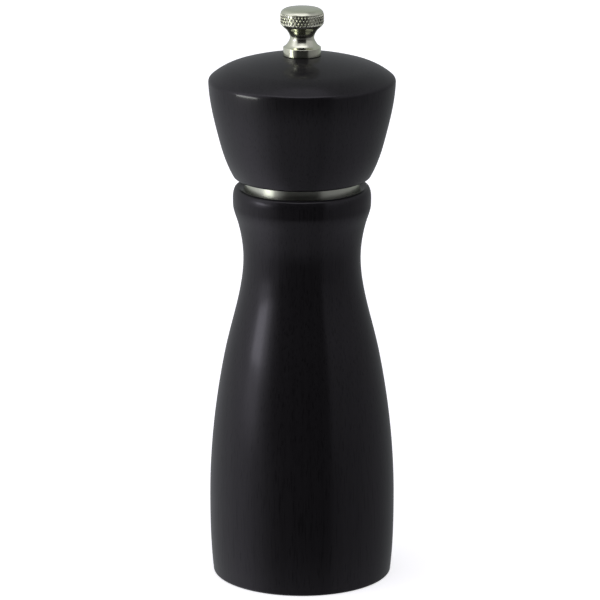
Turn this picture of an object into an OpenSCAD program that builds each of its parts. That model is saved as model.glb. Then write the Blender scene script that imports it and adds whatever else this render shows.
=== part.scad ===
// Turned wooden pepper mill with a through shaft, a steel burr set and a finial nut.
// Millimetres. Origin at the centre of the base, +Z up along the turning axis.

/* [Body] */
// Height of the wooden body from its base to the crest of its lip
body_h = 137.8; // [132:0.1:146]
// Radius of the foot, just above the rounded bottom edge
foot_r = 30.95; // [30:0.05:31.5]
// Largest radius, low on the body
belly_r = 32.05; // [31.5:0.05:33]
// Radius at the narrow waist
waist_r = 20.2; // [19.5:0.1:22]
// Radius of the lip above the waist
lip_r = 23.7; // [23.2:0.1:24.5]
// Radius of the bore that holds the peppercorns
bore_r = 13.5; // [13.2:0.1:14.5]
// Depth of the recess in the base, up to the burr ring
recess_h = 7.2; // [7:0.1:8]
// Radius of the recess in the base
recess_r = 24.5; // [24.5:0.1:26]

/* [Collar ring] */
// Outer radius of the steel ring between body and head
ring_r = 19.7; // [19.4:0.1:19.9]
// Height of the ring that shows above the lip's crest
ring_show = 3.1; // [2:0.1:3.5]

/* [Head] */
// Height of the wooden head from its underside to the top of its dome
head_h = 42.65; // [40:0.05:48]
// Radius of the head at its rim
head_r = 31.95; // [31:0.05:33]
// Radius of the sphere that the dome is part of
dome_r = 80; // [70:1:90]
// Radius of the shoulder that turns the dome down towards the rim
shoulder_r = 22; // [16:0.5:26]
// Rounding of the rim itself, where the shoulder meets the side
rim_round = 2; // [1.2:0.1:2.5]
// Length of the tenon that turns in the body
tenon_h = 12; // [9:0.5:14]

/* [Knob] */
// Height of the finial nut
knob_h = 16.5; // [15.6:0.1:18]
// Radius of its knurled disc
knob_r = 7.55; // [7.3:0.05:8]
// Radius at its neck
neck_r = 4.15; // [3.9:0.05:4.4]
// Radius of its foot
knob_foot_r = 6.45; // [6.35:0.05:6.7]

/* [Shaft and thread] */
// Width of the square shaft
shaft_w = 6; // [5.8:0.1:6]
// Radius of the plain cylinders that stand for the shaft's threads
thread_r = 2.4; // [2.3:0.05:2.45]
// Height of the shaft's lower end above the table
shaft_foot = 2; // [1.6:0.1:2.2]

/* [Burrs] */
// Outer radius of the burr ring
burr_r = 19; // [18.6:0.1:19.2]
// Height of the burr ring
burr_h = 12; // [11:0.5:13]
// Largest radius of the turning burr
cone_r = 14.2; // [14:0.1:14.3]
// Height of the turning burr
cone_h = 14; // [13.5:0.5:15]
// Gap between the two burrs across the shaft, at the coarse setting
coarse_gap = 0.9; // [0.8:0.05:1.1]
// Number of fine teeth on the turning burr
cone_teeth = 30; // [20:1:36]
// Number of teeth in the burr ring
ring_teeth = 36; // [24:1:40]

/* [Spring] */
// Length of the spring as fitted
spring_h = 11; // [10:0.5:12]
// Wire diameter
wire_d = 1.1; // [0.9:0.1:1.2]
// Number of turns, its closed end turns included
spring_turns = 6; // [5:1:7]

/* [Hidden] */

$fn = 96;
eps = 0.01;
turn_gap = 0.05;     // clearance between flat faces that turn on each other
square_gap = 0.1;    // clearance each side of the shaft in a square hole
washer_t = 0.8;
sheet_t = 1.2;       // thickness of the pressed steel plates

// Stations up the mill
retainer_z = recess_h - sheet_t;
burr_top = recess_h + burr_h;
cone_z = 7;
cone_top = cone_z + cone_h;
spring_z = cone_top + washer_t;
spring_top = spring_z + spring_h;
seat_top = spring_top + washer_t;
bush_flange_t = 0.75;
bush_flange_r = 6.2;
bush_r = 5.2;
bush_rise = 0.6;     // how far the bush stands above the bar
bush_bore_r = shaft_w / sqrt(2) + 0.08;
bar_z = seat_top + turn_gap + bush_flange_t;
bar_t = 2;
bar_w = 11;
bar_top = bar_z + bar_t;
ring_top = body_h + ring_show;
head_z = ring_top + 0.1;
head_top = head_z + head_h;
tenon_z = head_z - tenon_h;
tenon_r = bore_r - 0.4;
drive_z = tenon_z - sheet_t;
square_top = head_top - 8.2;
head_bore_top = square_top + 2.5;
knob_seat = head_top - 0.8;  // floor of the shallow seat for the knob's washer
knob_washer_t = 0.6;
knob_washer_r = 6.1;
knob_z = knob_seat + knob_washer_t + turn_gap;
knob_top = knob_z + knob_h;
thread_top = knob_top - 6.4;
knob_bore_top = knob_top - 3.8;

// Ring of fasteners
retainer_screws_n = 3;
retainer_screw_at = 21.4;
bridge_screw_at = 15.8;
drive_screw_at = 8.8;

// ---- Outline helpers: points are [radius, height] ----

// A round stretch about a centre, from one angle to another
function arc(c, r, from, to, n = 10) =
    [for (i = [0:n]) c + r * [cos(from + (to - from) * i / n), sin(from + (to - from) * i / n)]];

// Radius between two stations [height, radius, slope], at share t of the way
function blend_r(a, b, t) =
    let (h = b[0] - a[0])
    (2 * pow(t, 3) - 3 * pow(t, 2) + 1) * a[1] + (pow(t, 3) - 2 * pow(t, 2) + t) * h * a[2]
    + (3 * pow(t, 2) - 2 * pow(t, 3)) * b[1] + (pow(t, 3) - pow(t, 2)) * h * b[2];

// A smooth turned line through a list of stations, without the first of them
function turned(stations, n = 10) =
    [for (i = [0:len(stations) - 2], k = [1:n])
        let (a = stations[i], b = stations[i + 1], t = k / n)
        [blend_r(a, b, t), a[0] + (b[0] - a[0]) * t]];

// The same points without the first, for a stretch that carries on from the last one
function onward(points) = [for (i = [1:len(points) - 1]) points[i]];

module lathe(points) {
    rotate_extrude() polygon(points);
}

module at(z) {
    translate([0, 0, z]) children();
}

module around(n, r) {
    for (i = [0:n - 1]) rotate([0, 0, i * 360 / n]) translate([r, 0, 0]) children();
}

// Cutter for a square hole through z to z + h
module square_hole(z, h) {
    w = shaft_w + 2 * square_gap;
    translate([-w / 2, -w / 2, z - eps]) cube([w, w, h + 2 * eps]);
}

// Pan-head wood screw, head below z and shank above it, with a cross recess
module screw(z, shank_r, shank_h, pan_r, pan_h) {
    slot_w = pan_r * 0.3;
    slot_l = pan_r * 1.1;
    slot_h = pan_h * 0.55;
    point_h = shank_r * 2.2;
    difference() {
        lathe(concat([[0, z - pan_h]], arc([pan_r - pan_h * 0.6, z - pan_h * 0.4], pan_h * 0.6, -90, 0, 6),
                     [[pan_r, z], [shank_r, z], [shank_r, z + shank_h - point_h],
                      [0.2, z + shank_h], [0, z + shank_h]]));
        for (a = [0, 90]) rotate([0, 0, a])
            translate([-slot_l, -slot_w / 2, z - pan_h - eps]) cube([2 * slot_l, slot_w, slot_h]);
    }
}

// ---- Body ----

base_round = 0.9;
lip_round = 1.4;
lip_angle = 23;       // how far round its crest the lip's outside begins
lip_c = [lip_r - 0.38 - lip_round, body_h - lip_round];
lip_edge = lip_c + lip_round * [cos(lip_angle), sin(lip_angle)];
skirt_t = 1;          // thickness of the collar ring
groove_z = body_h - 3; // floor of the groove that the collar ring's skirt stands in
neck_top = ring_top - skirt_t;

body_line = [
    [base_round, foot_r, 0.11],
    [0.195 * body_h, belly_r, 0],
    [0.574 * body_h, waist_r + 0.547 * (belly_r - waist_r), -0.2],
    [0.818 * body_h, waist_r, 0],
    [0.909 * body_h, waist_r + 0.51 * (lip_r - waist_r), 0.27],
    [body_h - 5.9, lip_r, 0],
    [lip_edge[1], lip_edge[0], -tan(lip_angle)]];

body_outline = concat(
    [[0, 0]],
    arc([foot_r - base_round, base_round], base_round, -90, 0, 6),
    turned(body_line, 12),
    onward(arc(lip_c, lip_round, lip_angle, 115, 10)),
    [[ring_r, body_h - 0.75], [ring_r, groove_z], [ring_r - skirt_t, groove_z],
     [ring_r - skirt_t, neck_top], [0, neck_top]]);

module body_shell() {
    color("#2a221e") difference() {
        lathe(body_outline);
        at(-eps) cylinder(r = recess_r, h = recess_h + eps);
        at(recess_h - eps) cylinder(r = burr_r, h = burr_h + eps);
        at(burr_top - eps) cylinder(r = burr_r - 1, h = bar_top - burr_top + eps);
        at(bar_top - eps) cylinder(r = bore_r, h = neck_top - bar_top + 2 * eps);
        around(retainer_screws_n, retainer_screw_at) at(recess_h - eps) cylinder(r = 1.4, h = 9);
        around(2, bridge_screw_at) at(bar_top - eps) cylinder(r = 1.2, h = 8);
    }
}

// Pressed ring: a skirt around the body's neck and a flat top that the head turns on
module collar_ring() {
    edge = 0.4;
    color("#c9c6bd") lathe(concat(
        [[ring_r - skirt_t, groove_z], [ring_r, groove_z]],
        arc([ring_r - edge, ring_top - edge], edge, 0, 90, 5),
        [[bore_r, ring_top], [bore_r, neck_top], [ring_r - skirt_t, neck_top]]));
}

// ---- Burrs ----

cone_slope = 0.5;     // radius lost for each millimetre of height on the fine teeth
fine_h = 7;           // height of the fine teeth
edge_h = 1;
crush_r = cone_r - cone_slope * (fine_h - edge_h);
cone_tip_r = 8;

function mouth_r(z) = cone_r + coarse_gap - cone_slope * (z - cone_z - edge_h);

module burr_ring() {
    throat_z = cone_z + fine_h + 0.4;
    funnel_r = burr_r - 1.7;
    groove_d = 0.8;
    lean = atan(cone_slope);
    color("#77756f") difference() {
        lathe([[mouth_r(recess_h), recess_h], [burr_r, recess_h], [burr_r, burr_top],
               [funnel_r, burr_top], [mouth_r(throat_z), throat_z]]);
        for (i = [0:ring_teeth - 1]) rotate([0, 0, i * 360 / ring_teeth])
            translate([mouth_r(throat_z - 3), 0, throat_z - 3]) rotate([18, -lean, 0])
                rotate([0, 0, 45]) translate([-groove_d / 2, -groove_d / 2, -8])
                    cube([groove_d, groove_d, 14]);
    }
}

module turning_burr() {
    fine_d = 0.8;
    crush_d = 2.4;
    crush_n = 6;
    lean = atan(cone_slope);
    color("#6f6d68") difference() {
        lathe([[0, cone_z], [cone_r - 0.4, cone_z], [cone_r, cone_z + 0.4], [cone_r, cone_z + edge_h],
               [crush_r, cone_z + fine_h], [cone_tip_r, cone_top - 0.8],
               [cone_tip_r - 0.8, cone_top], [0, cone_top]]);
        for (i = [0:cone_teeth - 1]) rotate([0, 0, i * 360 / cone_teeth])
            translate([mouth_r(cone_z + 3) - coarse_gap, 0, cone_z + 3]) rotate([-18, -lean, 0])
                rotate([0, 0, 45]) translate([-fine_d / 2, -fine_d / 2, -6])
                    cube([fine_d, fine_d, 10]);
        for (i = [0:crush_n - 1]) rotate([0, 0, i * 360 / crush_n])
            translate([(crush_r + cone_tip_r) / 2, 0, cone_z + 10.5]) rotate([-30, -lean, 0])
                rotate([0, 0, 45]) translate([-crush_d / 2, -crush_d / 2, -4])
                    cube([crush_d, crush_d, 12]);
        square_hole(cone_z, cone_h);
    }
}

// Flat steel ring screwed up into the recess to hold the burr ring
module ring_retainer() {
    color("#b9b8b3") difference() {
        at(retainer_z) cylinder(r = recess_r - 0.5, h = sheet_t);
        at(retainer_z - eps) cylinder(r = 17.6, h = sheet_t + 2 * eps);
        around(retainer_screws_n, retainer_screw_at) at(retainer_z - eps)
            cylinder(r = 1.4, h = sheet_t + 2 * eps);
    }
}

module retainer_screws() {
    color("#d0cfca") around(retainer_screws_n, retainer_screw_at)
        screw(retainer_z, 1.4, 9.5, 2.5, 1.4);
}

// ---- Bridge that carries the shaft ----

module bridge_bar() {
    reach = burr_r - 1;
    color("#b9b8b3") difference() {
        intersection() {
            at(bar_z) cylinder(r = reach, h = bar_t);
            translate([-reach - 1, -bar_w / 2, bar_z]) cube([2 * reach + 2, bar_w, bar_t]);
        }
        at(bar_z - eps) cylinder(r = bush_r, h = bar_t + 2 * eps);
        around(2, bridge_screw_at) at(bar_z - eps) cylinder(r = 1.2, h = bar_t + 2 * eps);
    }
}

module bridge_screws() {
    color("#d0cfca") around(2, bridge_screw_at) screw(bar_z, 1.2, 9.8, 2.1, 1.2);
}

// Flanged bush pressed up into the bar, round inside for the shaft's corners
module shaft_bush() {
    color("#e8e4d8") lathe([
        [bush_bore_r, bar_z - bush_flange_t], [bush_flange_r, bar_z - bush_flange_t],
        [bush_flange_r, bar_z], [bush_r, bar_z], [bush_r, bar_top + bush_rise - 0.3],
        [bush_r - 0.3, bar_top + bush_rise], [bush_bore_r, bar_top + bush_rise]]);
}

module square_washer(z, r) {
    difference() {
        at(z) cylinder(r = r, h = washer_t);
        square_hole(z, washer_t);
    }
}

module spring_seat() {
    color("#c2c1bc") square_washer(spring_top, 6.9);
}

module spring_washer() {
    color("#c2c1bc") square_washer(cone_top, 6.9);
}

// Compression spring with a closed turn at each end, swept as rings of a round wire
coil_r = 5.7;
wire_sides = 8;
steps_per_turn = 24;
spring_steps = spring_turns * steps_per_turn;
closed_pitch = wire_d * 1.04;
wire_low = spring_z + wire_d / 2;
wire_high = spring_top - wire_d / 2;
open_pitch = (wire_high - wire_low - 2 * closed_pitch) / (spring_turns - 2);

// Height of the wire's centre after u turns: closed, open, closed
function wire_z(u) = wire_low + closed_pitch * min(u, 1)
    + open_pitch * max(0, min(u, spring_turns - 1) - 1)
    + closed_pitch * max(0, u - spring_turns + 1);

module spring() {
    points = [for (i = [0:spring_steps], k = [0:wire_sides - 1])
        let (u = i / steps_per_turn, a = 360 * u, b = 360 * k / wire_sides,
             r = coil_r + wire_d / 2 * cos(b))
        [r * cos(a), r * sin(a), wire_z(u) + wire_d / 2 * sin(b)]];
    sides = [for (i = [0:spring_steps - 1], k = [0:wire_sides - 1])
        let (n = (k + 1) % wire_sides, p = i * wire_sides, q = p + wire_sides)
        [p + k, q + k, q + n, p + n]];
    near_end = [for (k = [0:wire_sides - 1]) k];
    far_end = [for (k = [wire_sides - 1:-1:0]) spring_steps * wire_sides + k];
    color("#9a9994") polyhedron(points, concat(sides, [near_end, far_end]), convexity = 10);
}

// ---- Shaft ----

module shaft() {
    tip = 0.5;
    half = shaft_w / 2;
    color("#a9a8a4") union() {
        lathe([[0, shaft_foot], [thread_r - tip, shaft_foot], [thread_r, shaft_foot + tip],
               [thread_r, cone_z + eps], [0, cone_z + eps]]);
        translate([-half, -half, cone_z]) cube([shaft_w, shaft_w, square_top - cone_z]);
        lathe([[0, square_top - eps], [thread_r, square_top - eps], [thread_r, thread_top - tip],
               [thread_r - tip, thread_top], [0, thread_top]]);
    }
}

module end_washer() {
    color("#c2c1bc") difference() {
        at(cone_z - washer_t) cylinder(r = 5.5, h = washer_t);
        at(cone_z - washer_t - eps) cylinder(r = thread_r, h = washer_t + 2 * eps);
    }
}

module end_nut() {
    nut_h = 3.4;
    nut_top = cone_z - washer_t;
    across_corners = 8 / cos(30);
    color("#d0cfca") difference() {
        intersection() {
            at(nut_top - nut_h) cylinder(d = across_corners, h = nut_h, $fn = 6);
            lathe([[0, nut_top - nut_h], [3.7, nut_top - nut_h], [4.7, nut_top - nut_h + 0.6],
                   [4.7, nut_top], [0, nut_top]]);
        }
        at(nut_top - nut_h - eps) cylinder(r = thread_r, h = nut_h + 2 * eps);
    }
}

// ---- Head ----

edge_round = 1.75;
edge_angle = atan(0.5);
edge_c = [head_r - 9.8, head_z + edge_round];
edge_end = edge_c + edge_round * [cos(edge_angle), -sin(edge_angle)];
rim_slope = 0.035;
rim_angle = atan(rim_slope);
shoulder_angle = 50;  // how far round the rim the shoulder begins
dome_z = head_top - dome_r;
shoulder_cr = head_r - rim_round - (shoulder_r - rim_round) * cos(shoulder_angle);
shoulder_c = [shoulder_cr, dome_z + sqrt(pow(dome_r - shoulder_r, 2) - pow(shoulder_cr, 2))];
rim_c = shoulder_c + (shoulder_r - rim_round) * [cos(shoulder_angle), sin(shoulder_angle)];
rim_start = rim_c + rim_round * [cos(rim_angle), -sin(rim_angle)];
dome_angle = atan2(shoulder_c[1] - dome_z, shoulder_c[0]);

head_line = [
    [edge_end[1], edge_end[0], 0.55],
    [edge_end[1] + 14.9, edge_end[0] + 5.25, 0.25],
    [rim_start[1], rim_start[0], rim_slope]];

head_outline = concat(
    [[0, tenon_z], [tenon_r, tenon_z], [tenon_r, head_z]],
    arc(edge_c, edge_round, -90, -edge_angle, 8),
    turned(head_line, 12),
    onward(arc(rim_c, rim_round, -rim_angle, shoulder_angle, 8)),
    onward(arc(shoulder_c, shoulder_r, shoulder_angle, dome_angle, 8)),
    onward(arc([0, dome_z], dome_r, dome_angle, 90, 12)));

module head_cap() {
    color("#2a221e") difference() {
        lathe(head_outline);
        at(tenon_z - eps) cylinder(r = 4.9, h = head_bore_top - tenon_z + eps);
        at(head_bore_top - eps) cylinder(r = 2.9, h = head_top - head_bore_top + 2 * eps);
        at(knob_seat) cylinder(r = knob_washer_r + 0.15, h = 2);
        around(2, drive_screw_at) at(tenon_z - eps) cylinder(r = 1.2, h = 8);
    }
}

module drive_plate() {
    color("#b9b8b3") difference() {
        at(drive_z) cylinder(r = tenon_r - 0.7, h = sheet_t);
        square_hole(drive_z, sheet_t);
        around(2, drive_screw_at) at(drive_z - eps) cylinder(r = 1.2, h = sheet_t + 2 * eps);
    }
}

module drive_plate_screws() {
    color("#d0cfca") around(2, drive_screw_at) screw(drive_z, 1.2, 9, 2.1, 1.2);
}

module knob_washer() {
    color("#33302d") difference() {
        at(knob_seat) cylinder(r = knob_washer_r, h = knob_washer_t);
        at(knob_seat - eps) cylinder(r = 2.75, h = knob_washer_t + 2 * eps);
    }
}

// ---- Knob ----

side_h = 2.65;        // height of the foot's straight side
foot_round = 0.25;
foot_angle = 61;
foot_c = [knob_foot_r - foot_round, knob_z + side_h];
foot_edge = foot_c + foot_round * [cos(foot_angle), sin(foot_angle)];
neck_z = knob_z + 6.05;
bead_z = knob_z + 8.4;
disc_z = knob_z + 11.7;
edge_of_top = 2.5;
crown_r = 34;         // sphere that the knob's slightly domed top is part of
crown_z = knob_top - crown_r;
top_c = [knob_r - edge_of_top, crown_z + sqrt(pow(crown_r - edge_of_top, 2) - pow(knob_r - edge_of_top, 2))];
crown_angle = atan2(top_c[1] - crown_z, top_c[0]);

neck_line = [
    [foot_edge[1], foot_edge[0], -1.8],
    [knob_z + 4.3, neck_r + 0.72, -0.62],
    [neck_z, neck_r, 0],
    [bead_z, neck_r + 0.93, 0.75],
    [bead_z + 0.5, neck_r + 1.3, 0.65],
    [bead_z + 1, neck_r + 1.85, 1.2],
    [disc_z, knob_r, 0]];

knob_outline = concat(
    [[0, knob_z], [knob_foot_r - 0.1, knob_z], [knob_foot_r, knob_z + 0.1]],
    arc(foot_c, foot_round, 0, foot_angle, 5),
    turned(neck_line, 6),
    onward(arc(top_c, edge_of_top, 0, crown_angle, 8)),
    onward(arc([0, crown_z], crown_r, crown_angle, 90, 6)));

module knob() {
    color("#cfccc2") difference() {
        lathe(knob_outline);
        at(knob_z - eps) cylinder(r = thread_r + 0.2, h = knob_bore_top - knob_z + eps);
    }
}

body_shell();
collar_ring();
burr_ring();
ring_retainer();
retainer_screws();
bridge_bar();
bridge_screws();
shaft_bush();
spring_seat();
spring();
spring_washer();
turning_burr();
shaft();
end_washer();
end_nut();
head_cap();
drive_plate();
drive_plate_screws();
knob_washer();
knob();
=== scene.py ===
import math
import bmesh
import bpy
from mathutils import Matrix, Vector


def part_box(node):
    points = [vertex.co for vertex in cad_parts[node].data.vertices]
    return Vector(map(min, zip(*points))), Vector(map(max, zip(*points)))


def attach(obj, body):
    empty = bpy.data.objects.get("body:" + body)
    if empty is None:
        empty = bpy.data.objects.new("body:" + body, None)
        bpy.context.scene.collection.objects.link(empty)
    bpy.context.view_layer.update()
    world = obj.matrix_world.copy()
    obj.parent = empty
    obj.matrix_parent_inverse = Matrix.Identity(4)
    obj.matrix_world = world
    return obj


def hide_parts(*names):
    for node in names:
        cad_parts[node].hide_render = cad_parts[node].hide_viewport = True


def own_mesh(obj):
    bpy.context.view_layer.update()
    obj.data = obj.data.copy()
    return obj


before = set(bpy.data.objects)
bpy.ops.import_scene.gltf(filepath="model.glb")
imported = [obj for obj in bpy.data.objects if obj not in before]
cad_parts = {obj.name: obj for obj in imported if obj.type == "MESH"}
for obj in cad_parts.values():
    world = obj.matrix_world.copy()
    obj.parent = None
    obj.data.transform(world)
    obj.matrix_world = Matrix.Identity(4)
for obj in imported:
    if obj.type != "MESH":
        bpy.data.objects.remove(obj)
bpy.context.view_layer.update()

MM = 0.001
SEGMENTS = 192
THREAD_PITCH = 0.8


# ---- Places that come from the frame, in millimetres ----

def low(node):
    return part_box(node)[0][2] / MM


def high(node):
    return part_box(node)[1][2] / MM


def radius(node):
    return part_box(node)[1][0] / MM


HEIGHT = high("knob")
NECK_TOP = high("body_shell")
RING_TOP, RING_R = high("collar_ring"), radius("collar_ring")
GROOVE_Z = low("collar_ring")
RING_WALL = RING_TOP - NECK_TOP
RING_SHOW = 3.1
LIP_CREST = RING_TOP - RING_SHOW
BELLY_R = radius("body_shell")
HEAD_Z = RING_TOP + 0.1
TENON_Z = low("head_cap")
HEAD_R = radius("head_cap")
DOME_TOP = low("knob_washer") + 0.8
SQUARE_TOP = DOME_TOP - 8.2
BORE_R = 13.5
KNOB_Z, KNOB_R = low("knob"), radius("knob")


# ---- Outlines: points are (radius, height) in millimetres ----

def arc(centre, r, start, end, n=10):
    """A round stretch about a centre, from one angle in degrees to another."""
    angles = [math.radians(start + (end - start) * i / n) for i in range(n + 1)]
    return [(centre[0] + r * math.cos(a), centre[1] + r * math.sin(a)) for a in angles]


def turned(stations, n=10):
    """A smooth turned line through stations (height, radius, slope), without the first of them."""
    line = []
    for (z0, r0, m0), (z1, r1, m1) in zip(stations, stations[1:]):
        h = z1 - z0
        for k in range(1, n + 1):
            t = k / n
            r = ((2 * t**3 - 3 * t**2 + 1) * r0 + (t**3 - 2 * t**2 + t) * h * m0
                 + (3 * t**2 - 2 * t**3) * r1 + (t**3 - t**2) * h * m1)
            line.append((r, z0 + h * t))
    return line


def softened(corners, size, n=3):
    """The same outline with a small round at each corner, so that its edges catch the light."""
    points, count = [], len(corners)
    for i, corner in enumerate(corners):
        here = Vector(corner)
        into, out = Vector(corners[i - 1]) - here, Vector(corners[(i + 1) % count]) - here
        reach = min(size, 0.4 * into.length, 0.4 * out.length)
        start, end = here + into.normalized() * reach, here + out.normalized() * reach
        for k in range(n + 1):
            t = k / n
            points.append(tuple((1 - t) ** 2 * start + 2 * t * (1 - t) * here + t * t * end))
    return points


# ---- Meshes ----

def make_object(name, verts, faces, material, smooth_angle=32):
    mesh = bpy.data.meshes.new(name)
    mesh.from_pydata([(x * MM, y * MM, z * MM) for x, y, z in verts], [], faces)
    mesh.validate()
    built = bmesh.new()
    built.from_mesh(mesh)
    bmesh.ops.recalc_face_normals(built, faces=built.faces)
    built.to_mesh(mesh)
    built.free()
    mesh.polygons.foreach_set("use_smooth", [True] * len(mesh.polygons))
    mesh.set_sharp_from_angle(angle=math.radians(smooth_angle))
    mesh.materials.append(material)
    obj = bpy.data.objects.new(name, mesh)
    bpy.context.scene.collection.objects.link(obj)
    return obj


def lathe(name, outline, material, segments=SEGMENTS, closed=True, shape=None):
    """Turns an outline about Z. closed joins its last point to its first, as a ring; otherwise its
    ends lie on the axis. shape(r, angle, z) may change the radius, as a knurl does."""
    verts, faces, rows = [], [], []
    for r, z in outline:
        if r < 1e-6:
            rows.append([len(verts)])
            verts.append((0, 0, z))
            continue
        rows.append(list(range(len(verts), len(verts) + segments)))
        for s in range(segments):
            a = 2 * math.pi * s / segments
            rr = shape(r, a, z) if shape else r
            verts.append((rr * math.cos(a), rr * math.sin(a), z))
    pairs = list(zip(rows, rows[1:]))
    if closed:
        pairs.append((rows[-1], rows[0]))
    for p, q in pairs:
        if len(p) == 1 and len(q) == 1:
            continue
        for s in range(segments):
            n = (s + 1) % segments
            if len(p) == 1:
                faces.append((p[0], q[n], q[s]))
            elif len(q) == 1:
                faces.append((p[s], p[n], q[0]))
            else:
                faces.append((p[s], p[n], q[n], q[s]))
    return make_object(name, verts, faces, material)


def tube(name, centres, r, sides, material):
    """A round wire along a list of centres, with closed ends."""
    verts, faces = [], []
    last = len(centres) - 1
    for i, c in enumerate(centres):
        along = (centres[min(i + 1, last)] - centres[max(i - 1, 0)]).normalized()
        side = along.cross(Vector((0, 0, 1))).normalized()
        up = side.cross(along)
        for k in range(sides):
            b = 2 * math.pi * k / sides
            verts.append(tuple(c + r * (math.cos(b) * side + math.sin(b) * up)))
    for i in range(last):
        for k in range(sides):
            n = (k + 1) % sides
            faces.append((i * sides + k, i * sides + n, (i + 1) * sides + n, (i + 1) * sides + k))
    faces.append(tuple(range(sides - 1, -1, -1)))
    faces.append(tuple(last * sides + k for k in range(sides)))
    return make_object(name, verts, faces, material, smooth_angle=60)


# ---- Materials ----

class Nodes:
    """A material under construction: node() adds a node, with inputs given as sockets or values."""

    def __init__(self, name):
        self.material = bpy.data.materials.new(name)
        self.material.use_nodes = True
        self.tree = self.material.node_tree
        self.shader = self.tree.nodes["Principled BSDF"]

    def node(self, kind, settings=None, **inputs):
        made = self.tree.nodes.new(kind)
        for key, value in (settings or {}).items():
            setattr(made, key, value)
        for key, value in inputs.items():
            self.put(made.inputs[key.replace("_", " ")], value)
        return made

    def put(self, socket, value):
        if isinstance(value, bpy.types.NodeSocket):
            self.tree.links.new(value, socket)
        else:
            socket.default_value = value

    def place(self, scale):
        """Object coordinates, stretched by scale."""
        where = self.node("ShaderNodeTexCoord").outputs["Object"]
        mapping = self.node("ShaderNodeMapping", Scale=scale)
        self.tree.links.new(where, mapping.inputs["Vector"])
        return mapping.outputs["Vector"]

    def noise(self, scale, size, detail=4.0, roughness=0.55):
        made = self.node("ShaderNodeTexNoise", Vector=self.place(scale), Scale=size, Detail=detail,
                         Roughness=roughness)
        return made.outputs["Fac"]

    def ramp(self, fac, stops):
        """A colour ramp; stops are (position, grey or colour)."""
        made = self.node("ShaderNodeValToRGB", Fac=fac)
        elements = made.color_ramp.elements
        while len(elements) < len(stops):
            elements.new(0.5)
        for element, (position, value) in zip(elements, stops):
            element.position = position
            element.color = (*value, 1) if isinstance(value, tuple) else (value, value, value, 1)
        return made.outputs["Color"]

    def mix(self, fac, a, b, blend="MIX"):
        made = self.node("ShaderNodeMix", {"data_type": "RGBA", "blend_type": blend})
        for socket, value in zip((made.inputs[0], made.inputs[6], made.inputs[7]), (fac, a, b)):
            self.put(socket, (*value, 1) if isinstance(value, tuple) else value)
        return made.outputs[2]

    def bump(self, height, strength, depth, normal=None):
        made = self.node("ShaderNodeBump", Height=height, Strength=strength, Distance=depth)
        if normal:
            self.tree.links.new(normal, made.inputs["Normal"])
        return made.outputs["Normal"]

    def finish(self, **inputs):
        for key, value in inputs.items():
            self.put(self.shader.inputs[key.replace("_", " ")], value)
        return self.material


def stained_wood():
    """Open-grained hardwood turned along the grain, stained near black under a satin lacquer."""
    m = Nodes("stained_wood")
    pale, dark, fibre = (0.0158, 0.0148, 0.0151), (0.0130, 0.0122, 0.0125), (0.0170, 0.0161, 0.0165)
    patch, pore = (0.0135, 0.0128, 0.0137), (0.0092, 0.0087, 0.0089)
    bands = {"wave_type": "BANDS", "bands_direction": "X", "wave_profile": "SIN"}
    figure = m.node("ShaderNodeTexWave", bands,
                    Vector=m.place((1, 0.35, 0.05)), Scale=95.0, Distortion=5.0, Detail=3.0,
                    Detail_Scale=1.4, Detail_Roughness=0.6).outputs["Fac"]
    fibres = m.noise((1, 1, 0.035), 1500.0, detail=5.0, roughness=0.62)
    pores = m.ramp(m.noise((1, 1, 0.045), 2300.0, detail=2.0), [(0.36, 1.0), (0.43, 0.0)])
    patches = m.noise((1, 1, 0.4), 28.0, detail=2.0)
    base = m.mix(m.ramp(figure, [(0.15, 0.0), (0.9, 1.0)]), dark, pale)
    grained = m.mix(m.ramp(fibres, [(0.35, 0.0), (0.7, 1.0)]), base, fibre)
    shaded = m.mix(m.ramp(patches, [(0.35, 0.0), (0.75, 0.6)]), grained, patch)
    colour = m.mix(pores, shaded, pore)
    relief = m.bump(pores, 0.035, -0.00004)
    relief = m.bump(fibres, 0.018, 0.00002, relief)
    rough = m.node("ShaderNodeMapRange", Value=fibres, To_Min=0.42, To_Max=0.5).outputs["Result"]
    return m.finish(Base_Color=colour, Roughness=rough, Normal=relief, Specular_IOR_Level=0.06,
                    Coat_Weight=0.27, Coat_Roughness=0.13, Coat_IOR=1.8)


def turned_metal(name, colour, dark, roughness, brushing, anisotropy):
    """Metal finished on a lathe: fine lines run round the axis and spread its highlights up and down."""
    m = Nodes(name)
    lines = m.noise((0.02, 0.02, 1), 9000.0, detail=3.0, roughness=0.7)
    mottle = m.noise((1, 1, 1), 260.0, detail=3.0)
    shade = m.mix(m.ramp(mottle, [(0.3, 0.0), (0.75, 1.0)]), dark, colour)
    rough = m.node("ShaderNodeMapRange", Value=lines, To_Min=roughness - 0.04, To_Max=roughness + 0.05)
    tangent = m.node("ShaderNodeTangent", {"direction_type": "RADIAL", "axis": "Z"}).outputs["Tangent"]
    return m.finish(Base_Color=shade, Metallic=1.0, Roughness=rough.outputs["Result"],
                    Anisotropic=anisotropy, Anisotropic_Rotation=0.25, Tangent=tangent,
                    Normal=m.bump(lines, brushing, 0.00001))


def plain_metal(name, colour, dark, roughness, grain_scale=(1, 1, 1), grain_size=900.0, relief=0.08):
    """Machined or plated metal with a fine grain and slight staining."""
    m = Nodes(name)
    grain = m.noise(grain_scale, grain_size, detail=4.0, roughness=0.6)
    stain = m.noise((1, 1, 1), 120.0, detail=4.0)
    shade = m.mix(m.ramp(stain, [(0.35, 0.0), (0.7, 1.0)]), dark, colour)
    rough = m.node("ShaderNodeMapRange", Value=grain, To_Min=roughness - 0.06, To_Max=roughness + 0.1)
    return m.finish(Base_Color=shade, Metallic=1.0, Roughness=rough.outputs["Result"],
                    Normal=m.bump(grain, relief, 0.00002))


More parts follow.
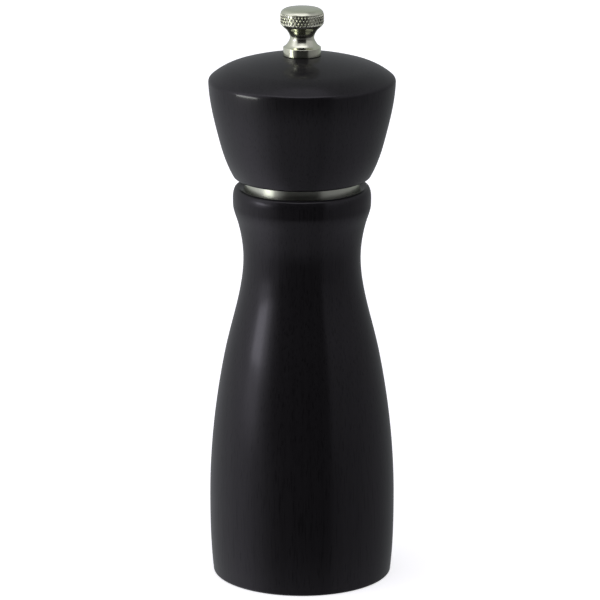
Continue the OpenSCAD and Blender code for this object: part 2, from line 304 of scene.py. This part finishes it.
def moulded(name, colour, other, roughness):
    """Moulded plastic or pressed fibre, slightly mottled."""
    m = Nodes(name)
    fleck = m.noise((1, 1, 1), 2500.0, detail=4.0)
    shade = m.mix(m.ramp(fleck, [(0.35, 0.0), (0.7, 1.0)]), colour, other)
    return m.finish(Base_Color=shade, Roughness=roughness, Normal=m.bump(fleck, 0.1, 0.00003))


WOOD = stained_wood()
RING_STEEL = turned_metal("brushed_ring", (0.705, 0.74, 0.60), (0.645, 0.68, 0.54), 0.3, 0.15, 0.8)
NICKEL = turned_metal("satin_nickel", (0.75, 0.775, 0.60), (0.69, 0.715, 0.54), 0.15, 0.05, 0.4)
BURR_STEEL = plain_metal("burr_steel", (0.27, 0.265, 0.255), (0.15, 0.145, 0.14), 0.38)
ZINC = plain_metal("zinc_plate", (0.62, 0.63, 0.64), (0.50, 0.50, 0.48), 0.3, relief=0.05)
SPRING_STEEL = plain_metal("spring_steel", (0.50, 0.49, 0.47), (0.36, 0.35, 0.33), 0.26)
BAR_STEEL = plain_metal("shaft_steel", (0.58, 0.575, 0.56), (0.47, 0.46, 0.44), 0.3, (1, 1, 0.02), 4000.0)
BUSH_PLASTIC = moulded("bush_plastic", (0.74, 0.71, 0.62), (0.70, 0.67, 0.58), 0.45)
FIBRE = moulded("washer_fibre", (0.045, 0.04, 0.037), (0.03, 0.027, 0.025), 0.75)


def stands_for(obj, node, body):
    """Puts a visible piece in the place of a CAD node, on that node's body."""
    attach(obj, body)
    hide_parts(node)
    return obj


# ---- Body ----

def make_body():
    base_round, lip_round, lip_angle = 0.9, 1.4, 23
    foot_r, waist_r, lip_r = BELLY_R - 1.1, BELLY_R - 11.85, BELLY_R - 8.35
    recess_r, recess_z = radius("ring_retainer") + 0.5, high("ring_retainer")
    burr_r, burr_z = radius("burr_ring"), high("burr_ring")
    step_z = high("bridge_bar")
    lip = arc((lip_r - 0.38 - lip_round, LIP_CREST - lip_round), lip_round, lip_angle, 115, 24)
    outside = turned([
        (base_round, foot_r, 0.11),
        (0.195 * LIP_CREST, BELLY_R, 0),
        (0.574 * LIP_CREST, waist_r + 0.547 * (BELLY_R - waist_r), -0.2),
        (0.818 * LIP_CREST, waist_r, 0),
        (0.909 * LIP_CREST, waist_r + 0.51 * (lip_r - waist_r), 0.27),
        (LIP_CREST - 5.9, lip_r, 0),
        (lip[0][1], lip[0][0], -math.tan(math.radians(lip_angle)))], 32)
    neck = softened([(RING_R, LIP_CREST - 0.75), (RING_R, GROOVE_Z), (RING_R - RING_WALL, GROOVE_Z),
                     (RING_R - RING_WALL, NECK_TOP), (BORE_R, NECK_TOP)], 0.15)[4:]
    inside = [(BORE_R, step_z), (burr_r - 1, step_z), (burr_r - 1, burr_z), (burr_r, burr_z),
              (burr_r, recess_z), (recess_r, recess_z)]
    mouth = arc((recess_r + 0.5, 0.5), 0.5, 180, 270, 6)
    foot = arc((foot_r - base_round, base_round), base_round, -90, 0, 8)
    outline = foot + outside + lip[1:] + [(RING_R + 0.05, LIP_CREST - 0.65)] + neck + inside + mouth
    return stands_for(lathe("body", outline, WOOD), "body_shell", "mill_body")


def make_collar():
    corners = [(RING_R - RING_WALL, GROOVE_Z), (RING_R, GROOVE_Z), (RING_R, RING_TOP),
               (BORE_R, RING_TOP), (BORE_R, NECK_TOP), (RING_R - RING_WALL, NECK_TOP)]
    ring = lathe("collar", softened(corners, 0.35, 6), RING_STEEL)
    return stands_for(ring, "collar_ring", "mill_body")


# ---- Head ----

def make_head():
    edge_round, edge_slope = 1.75, 0.55
    edge_angle = math.degrees(math.atan(0.5))
    edge_c = (HEAD_R - 9.8, HEAD_Z + edge_round)
    edge = arc(edge_c, edge_round, -90, -edge_angle, 16)
    edge_r, edge_z = edge[-1]
    dome_r, shoulder_r, rim_round, rim_slope, shoulder_angle = 80, 22, 2, 0.035, 50
    dome_z = DOME_TOP - dome_r
    cos_s, sin_s = math.cos(math.radians(shoulder_angle)), math.sin(math.radians(shoulder_angle))
    shoulder_cr = HEAD_R - rim_round - (shoulder_r - rim_round) * cos_s
    shoulder_cz = dome_z + math.sqrt((dome_r - shoulder_r) ** 2 - shoulder_cr**2)
    rim_c = (shoulder_cr + (shoulder_r - rim_round) * cos_s, shoulder_cz + (shoulder_r - rim_round) * sin_s)
    rim_angle = math.degrees(math.atan(rim_slope))
    rim = arc(rim_c, rim_round, -rim_angle, shoulder_angle, 16)
    dome_angle = math.degrees(math.atan2(shoulder_cz - dome_z, shoulder_cr))
    shoulder = arc((shoulder_cr, shoulder_cz), shoulder_r, shoulder_angle, dome_angle, 20)
    seat_r, seat_z = radius("knob_washer") + 0.15, low("knob_washer")
    seat_angle = math.degrees(math.acos((seat_r + 0.1) / dome_r))
    dome = arc((0, dome_z), dome_r, dome_angle, seat_angle, 40)
    side = turned([(edge_z, edge_r, edge_slope), (edge_z + 14.9, edge_r + 5.25, 0.25),
                   (rim[0][1], rim[0][0], rim_slope)], 40)
    hole_r, wide_hole_r, hole_z = 2.9, 4.9, SQUARE_TOP + 2.5
    bore = [(seat_r, seat_z), (hole_r, seat_z), (hole_r, hole_z), (wide_hole_r, hole_z)]
    tenon_r = BORE_R - 0.4
    tenon = [(wide_hole_r, TENON_Z), (tenon_r - 0.5, TENON_Z), (tenon_r, TENON_Z + 0.5), (tenon_r, HEAD_Z)]
    outline = edge + side + rim[1:] + shoulder[1:] + dome[1:] + bore + tenon
    return stands_for(lathe("head", outline, WOOD), "head_cap", "head")


# ---- Knob ----

KNURL_STARTS = 40
KNURL_DEPTH = 0.4
KNURL_LEAN = math.tan(math.radians(30))


def make_knob():
    side_h, foot_round, foot_angle = 2.65, 0.25, 61
    foot_r, neck_r = KNOB_R - 1.1, 4.15
    neck_z, bead_z, disc_z = KNOB_Z + 6.05, KNOB_Z + 8.4, KNOB_Z + 11.7
    edge, crown_r = 2.5, 34.0
    crown_z = HEIGHT - crown_r
    edge_r = KNOB_R - edge
    edge_z = crown_z + math.sqrt((crown_r - edge) ** 2 - edge_r**2)
    crown_angle = math.degrees(math.atan2(edge_z - crown_z, edge_r))
    foot = [(foot_r - 0.1, KNOB_Z), (foot_r, KNOB_Z + 0.1)]
    shoulder = arc((foot_r - foot_round, KNOB_Z + side_h), foot_round, 0, foot_angle, 8)
    under = turned([(shoulder[-1][1], shoulder[-1][0], -1.8), (KNOB_Z + 4.3, neck_r + 0.72, -0.62),
                    (neck_z, neck_r, 0), (bead_z, neck_r + 0.93, 0.75), (bead_z + 0.5, neck_r + 1.3, 0.65),
                    (bead_z + 1, neck_r + 1.85, 1.2), (disc_z, KNOB_R, 0)], 9)
    band = [(KNOB_R, disc_z + (edge_z - disc_z) * i / 24) for i in range(1, 24)]
    top = arc((edge_r, edge_z), edge, 0, crown_angle, 22)
    crown = arc((0, crown_z), crown_r, crown_angle, 90, 8)[1:-1] + [(0, HEIGHT)]
    bore_r, bore_top = 2.6, HEIGHT - 3.8
    turns = int((bore_top - KNOB_Z - 1) / THREAD_PITCH)
    thread = []
    for i in range(turns):
        z = bore_top - 0.4 - i * THREAD_PITCH
        thread += [(bore_r, z), (bore_r + 0.35, z - 0.5 * THREAD_PITCH)]
    bore = [(0, bore_top)] + thread + [(bore_r, KNOB_Z + 0.5), (bore_r + 0.5, KNOB_Z)]
    knurl_low, knurl_high = disc_z - 0.6, HEIGHT - 1.85
    middle, half = (knurl_low + knurl_high) / 2, (knurl_high - knurl_low) / 2
    pitch_round = 2 * math.pi * KNOB_R / KNURL_STARTS

    def knurled(r, angle, z):
        fade = min(1.0, max(0.0, (half - abs(z - middle)) / 0.15))
        if fade == 0 or r < 6:
            return r
        lean = (z - middle) * KNURL_LEAN / pitch_round
        turn = angle * KNURL_STARTS / (2 * math.pi)
        cuts = [1 - 2 * abs((turn + way * lean) % 1 - 0.5) for way in (1, -1)]
        cut = max(min(1.0, max(0.0, (0.8 - c) / 0.45)) for c in cuts)
        return r - KNURL_DEPTH * fade * cut

    outline = foot + shoulder + under + band + top + crown
    knob = lathe("knob_nut", outline + bore, NICKEL, segments=16 * KNURL_STARTS, shape=knurled)
    return stands_for(knob, "knob", "nut")


# ---- Shaft and spring ----

def threaded(name, z0, z1, r, point_low, point_high, material):
    """A right-hand M5 thread as a real helix, with pointed-off ends."""
    depth, rows_per_turn = 0.42, 10
    rows = int((z1 - z0) / THREAD_PITCH * rows_per_turn)
    outline = [(0, z0)] + [(r, z0 + (z1 - z0) * i / rows) for i in range(rows + 1)] + [(0, z1)]

    def helix(radius_here, angle, z):
        wave = 1 - 2 * abs((z / THREAD_PITCH - angle / (2 * math.pi)) % 1 - 0.5)
        from_end = min(z - z0 if point_low else 99, z1 - z if point_high else 99)
        chamfer = max(0.0, 0.6 - from_end)
        return min(radius_here - depth * (1 - min(1.0, 1.25 * wave)), r - chamfer)

    return lathe(name, outline, material, segments=72, closed=False, shape=helix)


def make_shaft():
    foot, top = low("shaft"), high("shaft")
    bar_low, bar_high = low("turning_burr"), SQUARE_TOP
    half, chamfer, thread_r = radius("shaft"), 0.35, 2.4
    inner = half - chamfer
    corners = [(half, inner), (inner, half), (-inner, half), (-half, inner),
               (-half, -inner), (-inner, -half), (inner, -half), (half, -inner)]
    levels = [(bar_low, 0.9), (bar_low + 0.35, 1.0), (bar_high - 0.35, 1.0), (bar_high, 0.9)]
    verts = [(x * k, y * k, z) for z, k in levels for x, y in corners]
    faces = [tuple(range(7, -1, -1)), tuple(range(24, 32))]
    for row in range(3):
        for i in range(8):
            j = (i + 1) % 8
            faces.append((row * 8 + i, row * 8 + j, row * 8 + 8 + j, row * 8 + 8 + i))
    bar = make_object("shaft_bar", verts, faces, BAR_STEEL)
    stands_for(bar, "shaft", "spindle")
    top_thread = threaded("shaft_top_thread", bar_high - 0.5, top, thread_r, False, True, BAR_STEEL)
    foot_thread = threaded("shaft_foot_thread", foot, bar_low + 0.5, thread_r, True, False, BAR_STEEL)
    for part in (top_thread, foot_thread):
        stands_for(part, "shaft", "spindle")


def make_spring():
    """A round wire with closed end turns."""
    z0, z1 = low("spring"), high("spring")
    wire, turns, steps = 1.1, 6, 48
    coil_r = radius("spring") - wire / 2
    closed = wire * 1.04
    rise = (z1 - z0 - wire - 2 * closed) / (turns - 2)
    centres = []
    for i in range(turns * steps + 1):
        u = i / steps
        z = z0 + wire / 2 + closed * min(u, 1) + rise * max(0, min(u, turns - 1) - 1)
        z += closed * max(0, u - turns + 1)
        a = 2 * math.pi * u
        centres.append(Vector((coil_r * math.cos(a), coil_r * math.sin(a), z)))
    spring = tube("coil_spring", centres, wire / 2, 16, SPRING_STEEL)
    stands_for(spring, "spring", "rotor")
    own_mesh(spring)


make_body()
make_collar()
make_head()
make_knob()
make_shaft()
make_spring()


# ---- CAD nodes that stay, with their finishes ----

FINISHES = {
    "burr_ring": BURR_STEEL, "turning_burr": BURR_STEEL, "ring_retainer": ZINC,
    "retainer_screws": ZINC, "bridge_bar": ZINC, "bridge_screws": ZINC, "shaft_bush": BUSH_PLASTIC,
    "spring_seat": ZINC, "spring_washer": ZINC, "end_washer": ZINC, "end_nut": ZINC,
    "drive_plate": ZINC, "drive_plate_screws": ZINC, "knob_washer": FIBRE}

for node, finish in FINISHES.items():
    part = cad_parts[node]
    part.data.materials.clear()
    part.data.materials.append(finish)


# ---- Floor, light and camera ----

def make_floor():
    """A plain pale table top. It stays out of the mill's reflections, which see the studio instead."""
    size = 4.0
    mesh = bpy.data.meshes.new("floor")
    corners = [(-size, -size, 0), (size, -size, 0), (size, size, 0), (-size, size, 0)]
    mesh.from_pydata(corners, [], [(0, 1, 2, 3)])
    floor = bpy.data.objects.new("floor", mesh)
    bpy.context.scene.collection.objects.link(floor)
    m = Nodes("floor")
    tone = m.ramp(m.noise((1, 1, 1), 3.0, detail=2.0), [(0.3, 0.80), (0.7, 0.82)])
    m.finish(Base_Color=tone, Roughness=0.8, Specular_IOR_Level=0.0,
             Emission_Color=(1, 1, 1, 1), Emission_Strength=0.68)
    mesh.materials.append(m.material)
    floor.visible_glossy = False
    floor.visible_diffuse = False


# The studio as the mill's gloss sees it. Each ring gives the brightness round the mill at one height,
# by direction in degrees: 0 on the camera's side, negative to its left. The camera's side is dark up to a
# bright panel overhead, the right is weakly lit, and the table is white.
TABLE_NEAR = [(-180, 0.75), (-150, 0.85), (-120, 0.95), (-86, 1.05), (-72, 0.92), (-59, 0.72), (-44, 0.48),
              (-30, 0.34), (0, 0.32), (32, 0.28), (50, 0.38), (90, 0.45), (150, 0.52), (180, 0.75)]
TABLE_FAR = [(-180, 0.5), (-125, 0.62), (-107, 0.68), (-78, 0.64), (-54, 0.34), (-41, 0.14), (-28, 0.04),
             (0, 0.03), (30, 0.03), (46, 0.18), (63, 0.22), (103, 0.28), (150, 0.36), (180, 0.5)]
WALLS = [(-180, 0.42), (-125, 0.62), (-108, 0.74), (-92, 0.9), (-79, 1.4), (-69, 1.4), (-56, 0.5),
         (-46, 0.12), (-35, 0.01), (0, 0.01), (34, 0.02), (42, 0.24), (85, 0.26), (115, 0.3),
         (150, 0.34), (180, 0.42)]
STREAK = [(-180, 0.42), (-125, 0.62), (-108, 0.74), (-95, 0.95), (-86, 1.7), (-79, 4.2), (-69, 4.2),
          (-60, 1.8), (-52, 0.6), (-44, 0.15), (-35, 0.01), (0, 0.01), (34, 0.02), (44, 0.28), (85, 0.3),
          (150, 0.34), (180, 0.42)]
UPPER_WALLS = [(-180, 0.42), (-125, 0.6), (-108, 0.75), (-80, 1.3), (-60, 0.9), (-48, 0.4), (-38, 0.03),
               (0, 0.02), (36, 0.03), (46, 0.48), (85, 0.5), (120, 0.42), (150, 0.38), (180, 0.42)]
HIGH = [(-180, 0.38), (-140, 0.5), (-110, 0.65), (-80, 1.1), (-60, 1.4), (-45, 1.5), (0, 1.6), (45, 1.4),
        (60, 0.8), (80, 0.45), (110, 0.34), (140, 0.32), (180, 0.38)]
RINGS = [(-0.62, -0.3, TABLE_FAR), (-0.17, -0.03, WALLS), (0.01, 0.1, STREAK), (0.17, 0.28, UPPER_WALLS),
         (0.66, 0.86, HIGH)]
CEILING = 0.8
FRONT_TINT, BACK_TINT = Vector((0.99, 0.96, 1.1)), Vector((0.96, 1.0, 1.03))


def make_world():
    """The camera itself sees plain white beyond the floor."""
    world = bpy.data.worlds.new("studio")
    world.use_nodes = True
    tree = world.node_tree
    nodes, links = tree.nodes, tree.links

    def math_node(operation, a, b=None):
        made = nodes.new("ShaderNodeMath")
        made.operation = operation
        for socket, value in zip(made.inputs, (a, b)):
            if isinstance(value, bpy.types.NodeSocket):
                links.new(value, socket)
            elif value is not None:
                socket.default_value = value
        return made.outputs[0]

    def ring(share, stops):
        made = nodes.new("ShaderNodeValToRGB")
        made.color_ramp.interpolation = "EASE"
        elements = made.color_ramp.elements
        while len(elements) < len(stops):
            elements.new(0.5)
        for element, (degrees, level) in zip(elements, stops):
            tint = FRONT_TINT.lerp(BACK_TINT, min(1.0, max(0.0, (abs(degrees) - 90) / 60)))
            element.position = degrees / 360 + 0.5
            element.color = (*(level * tint), 1)
        links.new(share, made.inputs[0])
        return made.outputs["Color"]

    def blend(height, start, end, below, above):
        step = nodes.new("ShaderNodeMapRange")
        step.interpolation_type = "SMOOTHSTEP"
        step.inputs["From Min"].default_value = start
        step.inputs["From Max"].default_value = end
        links.new(height, step.inputs["Value"])
        made = nodes.new("ShaderNodeMix")
        made.data_type = "RGBA"
        links.new(step.outputs["Result"], made.inputs[0])
        for socket, value in zip((made.inputs[6], made.inputs[7]), (below, above)):
            if isinstance(value, bpy.types.NodeSocket):
                links.new(value, socket)
            else:
                socket.default_value = (*value, 1)
        return made.outputs[2]

    direction = nodes.new("ShaderNodeTexCoord")
    parts = nodes.new("ShaderNodeSeparateXYZ")
    links.new(direction.outputs["Generated"], parts.inputs[0])
    forward = math_node("MULTIPLY", parts.outputs["Y"], -1.0)
    azimuth = math_node("ARCTAN2", parts.outputs["X"], forward)
    share = math_node("ADD", math_node("DIVIDE", azimuth, 2 * math.pi), 0.5)
    height = parts.outputs["Z"]
    colour = ring(share, TABLE_NEAR)
    for start, end, stops in RINGS:
        colour = blend(height, start, end, colour, ring(share, stops))
    colour = blend(height, 0.93, 0.99, colour, CEILING * FRONT_TINT)
    walls, seen = nodes["Background"], nodes.new("ShaderNodeBackground")
    links.new(colour, walls.inputs["Color"])
    walls.inputs["Strength"].default_value = 1.0
    seen.inputs["Color"].default_value = (1, 1, 1, 1)
    ray = nodes.new("ShaderNodeLightPath")
    both = nodes.new("ShaderNodeMixShader")
    links.new(ray.outputs["Is Camera Ray"], both.inputs[0])
    links.new(walls.outputs[0], both.inputs[1])
    links.new(seen.outputs[0], both.inputs[2])
    links.new(both.outputs[0], nodes["World Output"].inputs["Surface"])
    bpy.context.scene.world = world


def strip_light(name, place, size, energy, lit):
    """An upright soft box on the left, seen only in the gloss of the pieces it is set for."""
    light = bpy.data.lights.new(name, "AREA")
    light.shape = "RECTANGLE"
    light.size, light.size_y = size
    light.energy = energy
    light.color = (0.98, 1.0, 0.95)
    strip = bpy.data.objects.new(name, light)
    strip.location = place
    strip.rotation_euler = Vector((place[0], place[1], 0)).to_track_quat("Z", "Y").to_euler()
    strip.visible_camera = strip.visible_diffuse = False
    bpy.context.collection.objects.link(strip)
    pieces = bpy.data.collections.new(name)
    for piece in lit:
        pieces.objects.link(bpy.data.objects[piece])
    strip.light_linking.receiver_collection = pieces


def make_camera():
    aim_z, distance, pitch = 0.0973, 1.45, math.radians(15.1)
    data = bpy.data.cameras.new("camera")
    data.sensor_width = 36
    data.lens = 252.3
    data.clip_end = 20
    camera = bpy.data.objects.new("camera", data)
    camera.location = (-0.0007, -distance * math.cos(pitch), aim_z + distance * math.sin(pitch))
    camera.rotation_euler = (math.pi / 2 - pitch, 0, 0)
    bpy.context.scene.collection.objects.link(camera)
    bpy.context.scene.camera = camera


make_floor()
make_world()
strip_light("metal_strip", (-0.417, -0.169, 0.17), (0.15, 0.3), 0.2, ("knob_nut", "collar"))
strip_light("rim_strip", (-0.161, -0.072, 0.16), (0.09, 0.05), 0.12, ("head",))
make_camera()
bpy.context.scene.view_settings.view_transform = "Standard"
